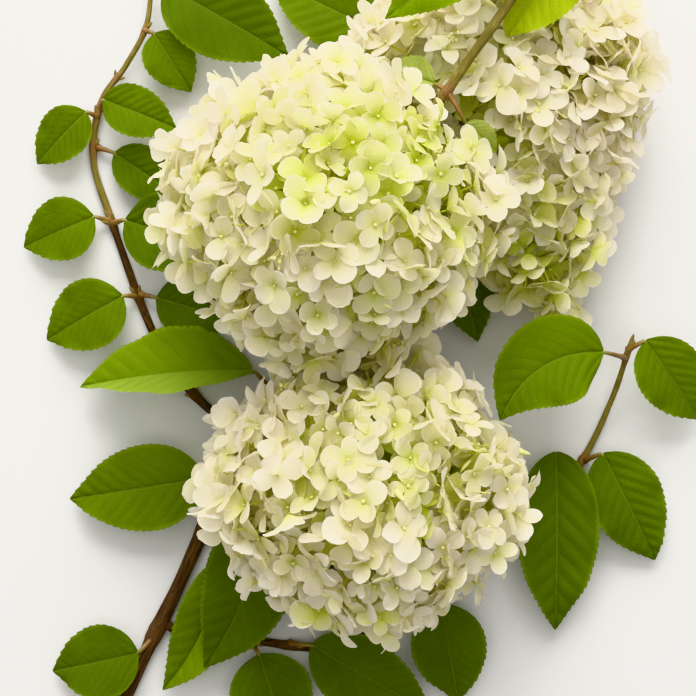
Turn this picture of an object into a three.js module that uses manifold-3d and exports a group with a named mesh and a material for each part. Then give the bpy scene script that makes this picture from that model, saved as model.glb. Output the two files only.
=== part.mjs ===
// Cut flowering branch of a panicle hydrangea, lying on a level surface.
// Millimetres, +Z up. The origin is on the surface, under the middle of the branch.
// The boughs, the leaves and the three flower heads are laid out in plan, with the old wood
// at the lower left and the flower heads hanging over from the far end.

import * as THREE from 'three';
import { mergeVertices } from 'three/addons/utils/BufferGeometryUtils.js';
import Module from 'manifold-3d';

const wasm = await Module();
wasm.setup();

// Driving dimensions
const MIDDLE = [7.6, 21.7];       // middle of the laid-out branch in plan
const CLEARANCE = 0.3;            // room left between pieces that touch
const SHORTEST_EDGE = 0.01;       // joins and cuts leave no edge under this

const FLORET_RADIUS = 16.5;       // centre of a floret to the end of a sepal
const SEPAL_HALF_ANGLE = 26;      // degrees from a sepal's middle to its shoulder
const NOTCH_RADIUS = 6.2;         // centre of a floret to the notch between two sepals
const SEPAL_RISE = 3.2;           // how far the sepals cup outward
const NOTCH_RISE = 1;             // how far the notches lie above the centre
const FLORET_THICKNESS = 1.3;     // at the centre of a floret
const FLORET_SCALES = [0.86, 1.06];
const FLORET_SINK = 0.05;         // most that a floret lies inside the outline, as a share of it
const FLORET_TILT = 0.34;         // most that a floret leans, as a slope
const FLORET_MARGIN = 1.08;       // a floret this much larger still has to be clear
const PEDICEL_RADIUS = 1.2;       // where the stalk of a floret leaves it
const PEDICEL_LENGTH = 25;        // down into the core
const FAN = 0.35;                 // where the florets' stalks aim, from the middle to abreast

const CORE_SIZE = 0.76;           // core of a flower head as a share of its outline
const HEAD_CLEARANCE = 8;         // room between the core of a flower head and an earlier head's outline
const HEAD_KEEP_OUT = 0.94;       // no floret reaches further into an earlier head than this share
const PEDUNCLE_RADIUS = 2.2;      // stalk of a flower head

const LEAF_THICKNESS = 1.3;       // at the midrib
const LEAF_STATIONS = 8;
const LEAF_FOLD = 0.24;           // rise of a leaf's edge for each mm from the midrib
const LEAF_ARCH = 0.07;           // rise of a leaf's middle as a share of its length
const LEAF_WIDEST = 0.4;          // where a blade is widest, from its base at 0 to its tip at 1
const LEAF_SHOULDER = 0.62;       // how fully a blade rounds out from its base
const PETIOLE_RADII = [1.15, 0.45]; // at the bough and where it ends in the blade

const LIMB_SIDES = 8;
const LIMB_STEPS_PER_SPAN = 3;
const PEDUNCLE_SIDES = 6;
const PETIOLE_SIDES = 4;
const PETIOLE_STEPS_PER_SPAN = 1;

const GOLDEN_ANGLE = Math.PI * (3 - Math.sqrt(5));
const UP = new THREE.Vector3(0, 0, 1);

// A solid cut by its neighbour moved each of these ways keeps clear of it
const CLEAR_SHIFTS = [[0, 0, 0], [1, 0, 0], [-1, 0, 0], [0, 1, 0], [0, -1, 0], [0, 0, 1], [0, 0, -1]]
  .map((way) => way.map((part) => part * CLEARANCE));

// Boughs, each one tapering limb: points along the middle, and the radius at both ends
const BOUGHS = {
  main_branch: {
    route: [[-122, -194, 3.6], [-87, -121, 3.6], [-54, -50, 3.6], [-7, 16, 3.6], [26, 41, 3.6],
      [45, 78, 3.4], [45, 113, 3.4], [30, 152, 4], [26, 190, 7], [36, 220, 21], [51, 233, 42]],
    radius: [3.6, 2.7],
    bark: 'old',
  },
  arch_bough: {
    route: [[51, 233, 42], [68, 241, 64], [88, 236, 92], [98, 211, 110]],
    radius: [2.6, 2.4],
    bark: 'old',
  },
  third_bough: {
    route: [[51, 233, 42], [50, 219, 52], [51, 205, 58], [53, 188, 60]],
    radius: [2.5, 2.2],
    bark: 'young',
  },
  upper_bough: {
    route: [[98, 211, 110], [94, 189, 112], [77, 164, 107], [62, 143, 103], [47, 122, 97], [36, 108, 92]],
    radius: [2.4, 2.2],
    bark: 'young',
  },
  lower_bough: {
    route: [[-14, 9, 3.6], [-13, 0, 20], [-9, -9, 37], [-3, -18, 48]],
    radius: [2.4, 2.1],
    bark: 'young',
  },
  right_shoot: {
    route: [[-97, -142, 3.6], [-74, -153, 2.6], [-50, -152, 2.4], [-4, -154, 2.4], [48, -125, 2.4]],
    radius: [2.2, 1.9],
    bark: 'old',
  },
  right_shoot_tip: {
    route: [[48, -125, 2.4], [94, -94, 2.4], [121, -59, 2.6], [136, -27, 8], [144, 2, 22]],
    radius: [1.9, 1.4],
    bark: 'young',
  },
  left_shoot: {
    route: [[-52, -46, 3.6], [-76, -28, 2.7], [-95, -4, 2.6], [-109, 27, 2.6], [-122, 64, 2.6]],
    radius: [2.3, 1.9],
    bark: 'old',
  },
  left_shoot_tip: {
    route: [[-122, 64, 2.6], [-132, 97, 2.8], [-128, 127, 4], [-115, 146, 6], [-104, 167, 8], [-101, 195, 9]],
    radius: [1.9, 1.3],
    bark: 'young',
  },
};

// Leaves: the place on the bough, where the blade begins, its tip and its full width.
// Some also have a sideways bow and an arch as shares of the length, a fold as a slope, and a roll in degrees.
const LEAVES = {
  leaf_left_mid: {
    root: [-36, -25, 4], base: [-49, -11, 12], tip: [-138, -20, 14], width: 42, bow: -0.03, fold: 0.6, roll: 42,
  },
  leaf_bough_left: { root: [47, 122, 97], base: [41, 126, 93], tip: [17, 136, 70], width: 20 },
  leaf_bough_right: { root: [47, 122, 97], base: [56, 107, 94], tip: [72, 94, 82], width: 13 },
  leaf_arch_left: { root: [96, 204, 111], base: [85, 204, 113], tip: [17, 155, 102], width: 34 },
  leaf_arch_right: { root: [97, 206, 111], base: [107, 193, 99], tip: [75, 148, 92], width: 36 },
  leaf_right_mid: {
    root: [142, -5, 18], base: [128, -2, 42], tip: [75, -36, 57], width: 45, bow: -0.17, fold: 0.16,
  },
  leaf_right_low: { root: [119, -61, 3], base: [107, -53, 14], tip: [107, -146, 8], width: 42 },
  leaf_right_edge: { root: [123, -58, 3], base: [131, -54, 12], tip: [159, -110, 6], width: 38 },
  leaf_right_end: { root: [143, -1, 20], base: [151, 4, 26], tip: [181, -37, 10], width: 34 },
  leaf_bottom_right: { root: [48, -125, 3], base: [48, -132, 10], tip: [57, -183, 6], width: 38 },
  leaf_bottom_mid: { root: [-30, -153, 3], base: [-19, -153, 10], tip: [43, -188, 8], width: 38 },
  leaf_bottom_left: { root: [-50, -152, 3], base: [-46, -158, 9], tip: [-30, -205, 6], width: 42 },
  leaf_base_left: { root: [-100, -149, 4], base: [-108, -157, 10], tip: [-153, -167, 7], width: 38 },
  leaf_low_left_front: {
    root: [-60, -63, 4], base: [-44, -80, 13], tip: [-74, -164, 17], width: 46, bow: 0.08,
  },
  leaf_low_left_back: { root: [-74, -93, 4], base: [-65, -109, 9], tip: [-96, -177, 8], width: 30, bow: 0.08 },
  leaf_left_low: { root: [-60, -63, 4], base: [-74, -67, 11], tip: [-144, -78, 8], width: 44 },
  leaf_top_left: { root: [-102, 185, 9], base: [-94, 186, 14], tip: [-30, 149, 16], width: 44 },
  leaf_top_left_small: { root: [-105, 164, 8], base: [-100, 162, 12], tip: [-81, 132, 8], width: 26 },
  leaf_left_upper: { root: [-128, 124, 4], base: [-126, 128, 12], tip: [-88, 113, 10], width: 26 },
  leaf_left_outer: { root: [-130, 120, 4], base: [-135, 122, 10], tip: [-161, 95, 6], width: 26 },
  leaf_left_deep: { root: [-130, 104, 3], base: [-121, 101, 6], tip: [-84, 76, 4], width: 26, arch: 0.03 },
  leaf_left_back: { root: [-121, 65, 3], base: [-115, 66, 11], tip: [-65, 50, 13], width: 40 },
  leaf_left_far: { root: [-124, 66, 3], base: [-131, 68, 9], tip: [-168, 52, 6], width: 32 },
  leaf_left_inner: { root: [-108, 28, 3], base: [-99, 26, 8], tip: [-56, 14, 8], width: 32, arch: 0.05 },
  leaf_left_back_outer: { root: [-110, 27, 3], base: [-116, 27, 10], tip: [-156, 4, 6], width: 36 },
  leaf_gap: { root: [45, 78, 4], base: [51, 63, 10], tip: [67, 3, 10], width: 34 },
  leaf_top_mid: { root: [30, 152, 4], base: [19, 161, 10], tip: [-41, 190, 8], width: 40 },
  leaf_fork: { root: [38, 222, 24], base: [28, 226, 28], tip: [-24, 236, 12], width: 36 },
};

// Flower heads: middle, direction of the tip, half sizes across, along and in depth.
// The power rounds the outline, and the taper narrows it towards the tip.
const FLOWER_HEADS = {
  bloom_upper: {
    centre: [-9, 67, 82], tip: [-0.04, -1, 0], half: [88, 80, 84],
    power: 1.65, taper: 0.03, florets: 80, seed: 12, bough: 'upper_bough',
  },
  bloom_lower: {
    centre: [9, -70, 65], tip: [0.08, -0.99, -0.04], half: [84, 75, 64],
    power: 1.7, taper: 0.08, florets: 72, seed: 23, bough: 'lower_bough',
  },
  bloom_third: {
    centre: [79, 99, 40], tip: [0.33, -0.92, -0.21], half: [80, 102, 43],
    power: 1.6, taper: 0.7, florets: 92, seed: 37, bough: 'third_bough',
  },
};

const FINISHES = {
  old: new THREE.MeshStandardMaterial({ color: 0x4a3a20, roughness: 0.85, metalness: 0, flatShading: true }),
  young: new THREE.MeshStandardMaterial({ color: 0x6d6030, roughness: 0.7, metalness: 0, flatShading: true }),
  leaf: new THREE.MeshStandardMaterial({ color: 0x64820c, roughness: 0.5, metalness: 0, flatShading: true }),
  sepal: new THREE.MeshStandardMaterial({ color: 0xe2dba0, roughness: 0.6, metalness: 0, flatShading: true }),
};

function vector(values) {
  return new THREE.Vector3(...values);
}

// The same numbers in every run: a multiplicative generator, 0 to 1
function randomSource(seed) {
  let state = seed;
  return () => {
    state = (state * 16807) % 2147483647;
    return state / 2147483647;
  };
}

function solidFromGeometry(source) {
  const geometry = source.clone();
  geometry.deleteAttribute('normal');
  geometry.deleteAttribute('uv');
  const merged = mergeVertices(geometry);
  return new wasm.Manifold(new wasm.Mesh({
    numProp: 3,
    vertProperties: new Float32Array(merged.attributes.position.array),
    triVerts: new Uint32Array(merged.index.array),
  }));
}

// A closed solid from corner points and triangles
function solidFrom(points, triangles) {
  const geometry = new THREE.BufferGeometry().setFromPoints(points);
  geometry.setIndex(triangles.flat());
  return solidFromGeometry(geometry);
}

// The largest body of a solid: loose scraps go, and sealed hollows are filled
function largestBody(solid) {
  return solid.decompose().reduce((best, piece) => (piece.volume() > best.volume() ? piece : best));
}

function namedMesh(name, solid, finish) {
  const { vertProperties, triVerts } = largestBody(solid).simplify(SHORTEST_EDGE).getMesh();
  const geometry = new THREE.BufferGeometry();
  geometry.setAttribute('position', new THREE.Float32BufferAttribute(vertProperties, 3));
  geometry.setIndex(new THREE.Uint32BufferAttribute(triVerts, 1));
  geometry.computeVertexNormals();
  const mesh = new THREE.Mesh(geometry, FINISHES[finish]);
  mesh.name = name;
  return mesh;
}

// A solid between rings with the same number of points, with flat ends
function loft(rings) {
  const sides = rings[0].length;
  const points = rings.flat();
  const last = points.length - sides;
  const ends = [rings[0], rings.at(-1)].map((ring) => {
    const middle = new THREE.Vector3();
    ring.forEach((point) => middle.addScaledVector(point, 1 / sides));
    return points.push(middle) - 1;
  });
  const triangles = [];
  for (let side = 0; side < sides; side += 1) {
    const next = (side + 1) % sides;
    triangles.push([ends[0], next, side], [ends[1], last + side, last + next]);
    for (let start = 0; start < last; start += sides) {
      triangles.push([start + side, start + next, start + sides + next]);
      triangles.push([start + side, start + sides + next, start + sides + side]);
    }
  }
  return solidFrom(points, triangles);
}

// A tapering round limb along a smooth route, made wider and longer all round by extra
function limb(route, [startRadius, endRadius], {
  extra = 0, sides = LIMB_SIDES, perSpan = LIMB_STEPS_PER_SPAN,
} = {}) {
  const curve = new THREE.CatmullRomCurve3(route.map(vector), false, 'catmullrom', 0.5);
  const steps = (route.length - 1) * perSpan;
  const across = new THREE.Vector3().crossVectors(UP, curve.getTangent(0));
  const rings = [];
  for (let step = 0; step <= steps; step += 1) {
    const share = step / steps;
    const along = curve.getTangent(share);
    across.addScaledVector(along, -across.dot(along)).normalize();
    const second = new THREE.Vector3().crossVectors(along, across);
    const middle = curve.getPoint(share);
    if (step === 0) middle.addScaledVector(along, -extra);
    if (step === steps) middle.addScaledVector(along, extra);
    const radius = startRadius + (endRadius - startRadius) * share + extra;
    const ring = [];
    for (let side = 0; side < sides; side += 1) {
      const angle = (side / sides) * 2 * Math.PI;
      ring.push(middle.clone()
        .addScaledVector(across, radius * Math.cos(angle))
        .addScaledVector(second, radius * Math.sin(angle)));
    }
    rings.push(ring);
  }
  return loft(rings);
}

// Half width of a leaf blade as a share of its widest, from the base at 0 to the tip at 1
function bladeShape(share) {
  const fall = (LEAF_SHOULDER * (1 - LEAF_WIDEST)) / LEAF_WIDEST;
  return (share / LEAF_WIDEST) ** LEAF_SHOULDER * ((1 - share) / (1 - LEAF_WIDEST)) ** fall;
}

// Middle line of a blade: arched over and bowed sideways between base and tip
function bladeLine(leaf, share) {
  const base = vector(leaf.base);
  const tip = vector(leaf.tip);
  const swell = 4 * share * (1 - share) * base.distanceTo(tip);
  const sideways = new THREE.Vector3().crossVectors(UP, tip.clone().sub(base)).normalize();
  return base.lerp(tip, share)
    .addScaledVector(UP, swell * (leaf.arch ?? LEAF_ARCH))
    .addScaledVector(sideways, swell * (leaf.bow ?? 0));
}

// The four edges of a blade at one station: over the midrib, right, under the midrib and left
function bladeSection(leaf, share) {
  const nudge = 0.01;
  const middle = bladeLine(leaf, share);
  const along = bladeLine(leaf, share + nudge).sub(bladeLine(leaf, share - nudge)).normalize();
  const across = new THREE.Vector3().crossVectors(UP, along).normalize();
  across.applyAxisAngle(along, THREE.MathUtils.degToRad(leaf.roll ?? 0));
  const outward = new THREE.Vector3().crossVectors(along, across);
  const half = (leaf.width / 2) * bladeShape(share);
  const rise = half * (leaf.fold ?? LEAF_FOLD);
  return [[0, LEAF_THICKNESS / 2], [-half, rise], [0, -LEAF_THICKNESS / 2], [half, rise]]
    .map(([sideways, height]) => middle.clone()
      .addScaledVector(across, sideways)
      .addScaledVector(outward, height));
}

// A leaf: folded blade with sharp edges, thick at the midrib, on a stalk from the bough
function leafSolid(leaf) {
  const points = [bladeLine(leaf, 0)];
  for (let station = 1; station < LEAF_STATIONS; station += 1) {
    points.push(...bladeSection(leaf, station / LEAF_STATIONS));
  }
  const tip = points.push(bladeLine(leaf, 1)) - 1;
  const triangles = [];
  for (let edge = 0; edge < 4; edge += 1) {
    const next = (edge + 1) % 4;
    triangles.push([0, 1 + next, 1 + edge], [tip, tip - 4 + edge, tip - 4 + next]);
    for (let start = 1; start < tip - 4; start += 4) {
      triangles.push([start + edge, start + next, start + 4 + next]);
      triangles.push([start + edge, start + 4 + next, start + 4 + edge]);
    }
  }
  const root = vector(leaf.root);
  const base = vector(leaf.base);
  const bend = root.clone().lerp(base, 0.55).addScaledVector(UP, 0.12 * root.distanceTo(base));
  const sunk = bladeLine(leaf, 1 / LEAF_STATIONS);
  const stalk = limb([root, bend, base, sunk], PETIOLE_RADII,
    { sides: PETIOLE_SIDES, perSpan: PETIOLE_STEPS_PER_SPAN });
  return solidFrom(points, triangles).add(stalk);
}

// Axes of a flower head: across, towards the tip, and in depth
function headAxes(head) {
  const along = vector(head.tip).normalize();
  const across = new THREE.Vector3().crossVectors(along, UP).normalize();
  return [across, along, new THREE.Vector3().crossVectors(across, along)];
}

// Half width of a flower head at a share of its half length, from -1 at the base to 1 at the tip
function headProfile(head, share) {
  return (1 - Math.abs(share) ** head.power) ** (1 / head.power) * (1 - head.taper * share);
}

// A point of the outline of a flower head, by its share along and its angle round the axis
function headPoint(head, share, angle) {
  const [across, along, depth] = headAxes(head);
  const round = (Math.abs(Math.cos(angle)) ** head.power + Math.abs(Math.sin(angle)) ** head.power)
    ** (-1 / head.power);
  const width = headProfile(head, share) * round;
  return vector(head.centre)
    .addScaledVector(across, head.half[0] * width * Math.cos(angle))
    .addScaledVector(along, head.half[1] * share)
    .addScaledVector(depth, head.half[2] * width * Math.sin(angle));
}

// How far out a point lies in a flower head: under 1 inside the outline, over 1 outside
function headDepth(head, point) {
  const [across, along, depth] = headAxes(head);
  const offset = point.clone().sub(vector(head.centre));
  const share = offset.dot(along) / head.half[1];
  const narrow = Math.max(1 - head.taper * share, 0.05);
  const sideways = offset.dot(across) / (head.half[0] * narrow);
  const height = offset.dot(depth) / (head.half[2] * narrow);
  const sum = [share, sideways, height].reduce((total, part) => total + Math.abs(part) ** head.power, 0);
  return sum ** (1 / head.power);
}

// A closed shell with the form of a flower head's outline, at a share of its size
function headShell(head, size, detail) {
  const shape = new THREE.IcosahedronGeometry(1, detail);
  const corners = shape.attributes.position;
  for (let index = 0; index < corners.count; index += 1) {
    const unit = new THREE.Vector3().fromBufferAttribute(corners, index);
    const share = THREE.MathUtils.clamp(unit.y, -1, 1);
    const place = vector(head.centre).lerp(headPoint(head, share, Math.atan2(unit.z, unit.x)), size);
    corners.setXYZ(index, place.x, place.y, place.z);
  }
  return solidFromGeometry(shape);
}

// Shares along a flower head that deal its florets out evenly over its surface
function evenShares(head) {
  const slabs = 120;
  const ends = [];
  let area = 0;
  for (let slab = 0; slab < slabs; slab += 1) {
    const from = (2 * slab) / slabs - 1;
    const to = from + 2 / slabs;
    const widths = [from, to].map((share) => headProfile(head, share));
    const slope = Math.hypot(head.half[0] * (widths[1] - widths[0]), head.half[1] * (to - from));
    const before = area;
    area += ((widths[0] + widths[1]) / 2) * slope;
    ends.push({ from, to, before, area });
  }
  return Array.from({ length: head.florets }, (_, index) => {
    const wanted = ((index + 0.5) / head.florets) * area;
    const slab = ends.find((end) => end.area >= wanted);
    return THREE.MathUtils.mapLinear(wanted, slab.before, slab.area, slab.from, slab.to);
  });
}

// One floret: four sepals in a thin cupped plate, on a stalk that runs down to a point
function floret({ middle, outward, turn, scale }) {
  const side = Math.abs(outward.z) > 0.8 ? new THREE.Vector3(1, 0, 0) : UP;
  const across = new THREE.Vector3().crossVectors(outward, side).normalize().applyAxisAngle(outward, turn);
  const second = new THREE.Vector3().crossVectors(outward, across);
  const place = (radius, angle, height) => middle.clone()
    .addScaledVector(across, radius * scale * Math.cos(angle))
    .addScaledVector(second, radius * scale * Math.sin(angle))
    .addScaledVector(outward, height * scale);
  const shoulder = THREE.MathUtils.degToRad(SEPAL_HALF_ANGLE);
  const rim = [];
  const neck = [];
  for (let sepal = 0; sepal < 4; sepal += 1) {
    const angle = (sepal * Math.PI) / 2;
    rim.push(place(FLORET_RADIUS, angle - shoulder, SEPAL_RISE));
    rim.push(place(FLORET_RADIUS, angle + shoulder, SEPAL_RISE));
    rim.push(place(NOTCH_RADIUS, angle + Math.PI / 4, NOTCH_RISE));
    neck.push(place(PEDICEL_RADIUS, angle + Math.PI / 4, -FLORET_THICKNESS));
  }
  const points = [middle, middle.clone().addScaledVector(outward, -PEDICEL_LENGTH), ...rim, ...neck];
  const triangles = [];
  for (let sepal = 0; sepal < 4; sepal += 1) {
    const left = 2 + sepal * 3;
    const right = left + 1;
    const notch = left + 2;
    const next = 2 + ((sepal + 1) % 4) * 3;
    const own = 2 + rim.length + sepal;
    const before = 2 + rim.length + ((sepal + 3) % 4);
    triangles.push([0, left, right], [0, right, notch], [0, notch, next]);
    triangles.push([right, left, before], [right, before, own], [notch, right, own], [next, notch, own]);
    triangles.push([1, own, before]);
  }
  return { points, solid: solidFrom(points, triangles) };
}

// The places of a flower head's florets, dealt out in a golden spiral with a seeded scatter
function floretPlaces(head) {
  const random = randomSource(head.seed);
  const centre = vector(head.centre);
  const [, along] = headAxes(head);
  return evenShares(head).map((share, index) => {
    const outline = headPoint(head, share, index * GOLDEN_ANGLE);
    const sink = FLORET_SINK * random();
    const lean = vector([random(), random(), random()]).addScalar(-0.5).multiplyScalar(2 * FLORET_TILT);
    const turn = random() * Math.PI;
    const scale = THREE.MathUtils.lerp(...FLORET_SCALES, random());
    const aim = centre.clone().addScaledVector(along, head.half[1] * share * FAN);
    const outward = outline.clone().sub(aim).normalize().add(lean).normalize();
    const middle = outline.lerp(centre, sink).addScaledVector(outward, -SEPAL_RISE);
    return { middle, outward, turn, scale };
  });
}

// A flower head: core and stalk, with florets standing out of it.
// A floret that would meet a leaf, a bough or a head made before this one is skipped.
function flowerHead(head, earlier, obstacles, boughEnd) {
  let solid = headShell(head, CORE_SIZE, 3);
  floretPlaces(head).forEach((place) => {
    const { points, solid: own } = floret(place);
    const wider = floret({ ...place, scale: place.scale * FLORET_MARGIN }).solid;
    const inside = earlier.some((other) => (
      points.some((point) => headDepth(other.head, point) < HEAD_KEEP_OUT)));
    const meets = obstacles.some((obstacle) => wider.intersect(obstacle).volume() > 0);
    if (!inside && !meets) solid = solid.add(own);
  });
  const start = vector(boughEnd);
  const centre = vector(head.centre);
  const stalk = limb([start, start.clone().lerp(centre, 0.3), start.clone().lerp(centre, 0.6)],
    [PEDUNCLE_RADIUS, PEDUNCLE_RADIUS], { sides: PEDUNCLE_SIDES });
  return solid.add(stalk);
}

const branch = new THREE.Group();

// Boughs, each kept clear of the ones before it
const boughSpaces = [];
Object.entries(BOUGHS).forEach(([name, { route, radius, bark }]) => {
  const solid = boughSpaces.reduce((left, space) => left.subtract(space), limb(route, radius));
  boughSpaces.push(limb(route, radius, { extra: CLEARANCE }));
  branch.add(namedMesh(name, solid, bark));
});
const boughSpace = boughSpaces.reduce((all, space) => all.add(space));

// Leaves, whose stalks are cut to the side of their bough
const obstacles = [boughSpace];
Object.entries(LEAVES).forEach(([name, leaf]) => {
  const solid = leafSolid(leaf).subtract(boughSpace);
  obstacles.push(solid);
  branch.add(namedMesh(name, solid, 'leaf'));
});

// Flower heads, cut clear of the boughs and of the heads before them, and flat where they lie
const below = solidFromGeometry(new THREE.BoxGeometry(900, 900, 200).translate(0, 0, -100));
const earlier = [];
Object.entries(FLOWER_HEADS).forEach(([name, head]) => {
  let solid = flowerHead(head, earlier, obstacles, BOUGHS[head.bough].route.at(-1));
  earlier.forEach((other) => {
    solid = solid.subtract(headShell(other.head, 1 + HEAD_CLEARANCE / other.head.half[2], 4));
    CLEAR_SHIFTS.forEach((shift) => {
      solid = solid.subtract(other.solid.translate(shift));
    });
  });
  solid = solid.subtract(boughSpace).subtract(below);
  earlier.push({ head, solid });
  obstacles.push(solid);
  branch.add(namedMesh(name, solid, 'sepal'));
});

branch.position.set(-MIDDLE[0], -MIDDLE[1], 0);

export default branch;
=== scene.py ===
import math

import bpy
import numpy as np
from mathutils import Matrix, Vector
from mathutils.kdtree import KDTree


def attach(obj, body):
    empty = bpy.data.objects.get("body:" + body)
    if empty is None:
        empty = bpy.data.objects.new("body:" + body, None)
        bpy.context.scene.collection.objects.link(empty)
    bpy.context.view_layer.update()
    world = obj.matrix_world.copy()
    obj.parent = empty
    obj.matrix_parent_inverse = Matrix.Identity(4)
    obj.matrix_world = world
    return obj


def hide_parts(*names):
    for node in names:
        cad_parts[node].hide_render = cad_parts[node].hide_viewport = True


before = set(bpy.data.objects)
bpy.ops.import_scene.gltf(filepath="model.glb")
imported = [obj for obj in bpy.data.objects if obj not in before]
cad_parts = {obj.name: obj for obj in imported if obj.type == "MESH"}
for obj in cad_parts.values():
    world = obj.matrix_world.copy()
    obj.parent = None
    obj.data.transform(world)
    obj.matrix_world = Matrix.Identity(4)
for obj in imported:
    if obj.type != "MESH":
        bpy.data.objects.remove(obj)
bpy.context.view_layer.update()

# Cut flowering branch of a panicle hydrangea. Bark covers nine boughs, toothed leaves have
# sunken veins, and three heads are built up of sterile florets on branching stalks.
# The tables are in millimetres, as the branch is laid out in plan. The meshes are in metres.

MM = 0.001
MIDDLE = np.array([7.6, 21.7, 0.0])  # middle of the laid-out branch in plan
UP = np.array([0.0, 0.0, 1.0])
GOLDEN_ANGLE = math.pi * (3 - math.sqrt(5))

# Boughs: points along the middle, the radius at both ends and the kind of bark
BOUGHS = {
    "main_branch": (
        [(-122, -194, 3.6), (-87, -121, 3.6), (-54, -50, 3.6), (-7, 16, 3.6), (26, 41, 3.6),
         (45, 78, 3.4), (45, 113, 3.4), (30, 152, 4), (26, 190, 7), (36, 220, 21), (51, 233, 42)],
        (3.6, 2.7), "old_bark"),
    "arch_bough": (
        [(51, 233, 42), (68, 241, 64), (88, 236, 92), (98, 211, 110)], (2.6, 2.4), "old_bark"),
    "third_bough": (
        [(51, 233, 42), (50, 219, 52), (51, 205, 58), (53, 188, 60)], (2.5, 2.2), "young_bark"),
    "upper_bough": (
        [(98, 211, 110), (94, 189, 112), (77, 164, 107), (62, 143, 103), (47, 122, 97), (36, 108, 92)],
        (2.4, 2.2), "young_bark"),
    "lower_bough": (
        [(-14, 9, 3.6), (-13, 0, 20), (-9, -9, 37), (-3, -18, 48)], (2.4, 2.1), "young_bark"),
    "right_shoot": (
        [(-97, -142, 3.6), (-74, -153, 2.6), (-50, -152, 2.4), (-4, -154, 2.4), (48, -125, 2.4)],
        (2.2, 1.9), "old_bark"),
    "right_shoot_tip": (
        [(48, -125, 2.4), (94, -94, 2.4), (121, -59, 2.6), (136, -27, 8), (144, 2, 22)],
        (1.9, 1.4), "young_bark"),
    "left_shoot": (
        [(-52, -46, 3.6), (-76, -28, 2.7), (-95, -4, 2.6), (-109, 27, 2.6), (-122, 64, 2.6)],
        (2.3, 1.9), "old_bark"),
    "left_shoot_tip": (
        [(-122, 64, 2.6), (-132, 97, 2.8), (-128, 127, 4), (-115, 146, 6), (-104, 167, 8),
         (-101, 195, 9)], (1.9, 1.3), "young_bark"),
}
SHOOT_TIPS = ("right_shoot_tip", "left_shoot_tip")
CUT_BOUGH = "main_branch"

# Leaves: the place on the bough, where the blade begins, its tip, its full width and its tone.
# Some also have a sideways bow and an arch as shares of the length, a fold as a slope, a roll
# in degrees, or one half in a paler tone, which is painted sheen on the side that catches the light.
LEAF_ROWS = [
    ("leaf_left_mid", (-36, -25, 4), (-49, -11, 12), (-138, -20, 14), 42, "bright",
     {"bow": -0.03, "fold": 0.6, "roll": 42, "sheen_half": "soft"}),
    ("leaf_bough_left", (47, 122, 97), (41, 126, 93), (17, 136, 70), 20, "faint"),
    ("leaf_bough_right", (47, 122, 97), (56, 107, 94), (72, 94, 82), 13, "faint"),
    ("leaf_arch_left", (96, 204, 111), (85, 204, 113), (17, 155, 102), 34, "bright"),
    # Its lime tone is painted light shining through the leaf from behind.
    ("leaf_arch_right", (97, 206, 111), (107, 193, 99), (75, 148, 92), 36, "lime"),
    ("leaf_right_mid", (142, -5, 18), (128, -2, 42), (75, -36, 57), 45, "fresh",
     {"bow": -0.17, "fold": 0.16}),
    ("leaf_right_low", (119, -61, 3), (107, -53, 14), (107, -146, 8), 42, "deep"),
    ("leaf_right_edge", (123, -58, 3), (131, -54, 12), (159, -110, 6), 38, "deep"),
    ("leaf_right_end", (143, -1, 20), (151, 4, 26), (181, -37, 10), 34, "middle"),
    ("leaf_bottom_right", (48, -125, 3), (48, -132, 10), (57, -183, 6), 38, "deep"),
    ("leaf_bottom_mid", (-30, -153, 3), (-19, -153, 10), (43, -188, 8), 38, "deep"),
    ("leaf_bottom_left", (-50, -152, 3), (-46, -158, 9), (-30, -205, 6), 42, "deep"),
    ("leaf_base_left", (-100, -149, 4), (-108, -157, 10), (-153, -167, 7), 38, "deep"),
    ("leaf_low_left_front", (-60, -63, 4), (-44, -80, 13), (-74, -164, 17), 46, "deep", {"bow": 0.08}),
    ("leaf_low_left_back", (-74, -93, 4), (-65, -109, 9), (-96, -177, 8), 30, "fresh",
     {"bow": 0.08, "sheen_half": "bright"}),
    ("leaf_left_low", (-60, -63, 4), (-74, -67, 11), (-144, -78, 8), 44, "middle"),
    ("leaf_top_left", (-102, 185, 9), (-94, 186, 14), (-30, 149, 16), 44, "deep"),
    ("leaf_top_left_small", (-105, 164, 8), (-100, 162, 12), (-81, 132, 8), 26, "fresh"),
    ("leaf_left_upper", (-128, 124, 4), (-126, 128, 12), (-88, 113, 10), 26, "fresh"),
    ("leaf_left_outer", (-130, 120, 4), (-135, 122, 10), (-161, 95, 6), 26, "middle"),
    ("leaf_left_deep", (-130, 104, 3), (-121, 101, 6), (-84, 76, 4), 26, "deep", {"arch": 0.03}),
    ("leaf_left_back", (-121, 65, 3), (-115, 66, 11), (-65, 50, 13), 40, "deep"),
    ("leaf_left_far", (-124, 66, 3), (-131, 68, 9), (-168, 52, 6), 32, "middle"),
    ("leaf_left_inner", (-108, 28, 3), (-99, 26, 8), (-56, 14, 8), 32, "deep", {"arch": 0.05}),
    ("leaf_left_back_outer", (-110, 27, 3), (-116, 27, 10), (-156, 4, 6), 36, "middle"),
    ("leaf_gap", (45, 78, 4), (51, 63, 10), (67, 3, 10), 34, "deep"),
    ("leaf_top_mid", (30, 152, 4), (19, 161, 10), (-41, 190, 8), 40, "middle"),
    ("leaf_fork", (38, 222, 24), (28, 226, 28), (-24, 236, 12), 36, "fresh"),
]
LEAVES = {name: dict(root=np.array(root, float), base=np.array(base, float),
                     tip=np.array(tip, float), width=width, tone=tone, **dict(*own))
          for name, root, base, tip, width, tone, *own in LEAF_ROWS}
LEAF_FOLD = 0.24  # rise of a leaf's edge for each mm from the midrib
LEAF_ARCH = 0.07  # rise of a leaf's middle as a share of its length
LEAF_WIDEST = 0.4  # where a blade is widest, from its base to its tip
LEAF_SHOULDER = 0.62  # how fully a blade rounds out from its base
TOOTH_STEP = 3.4  # from one tooth of a leaf's edge to the next
TOOTH_DEPTH = 1.1
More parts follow.
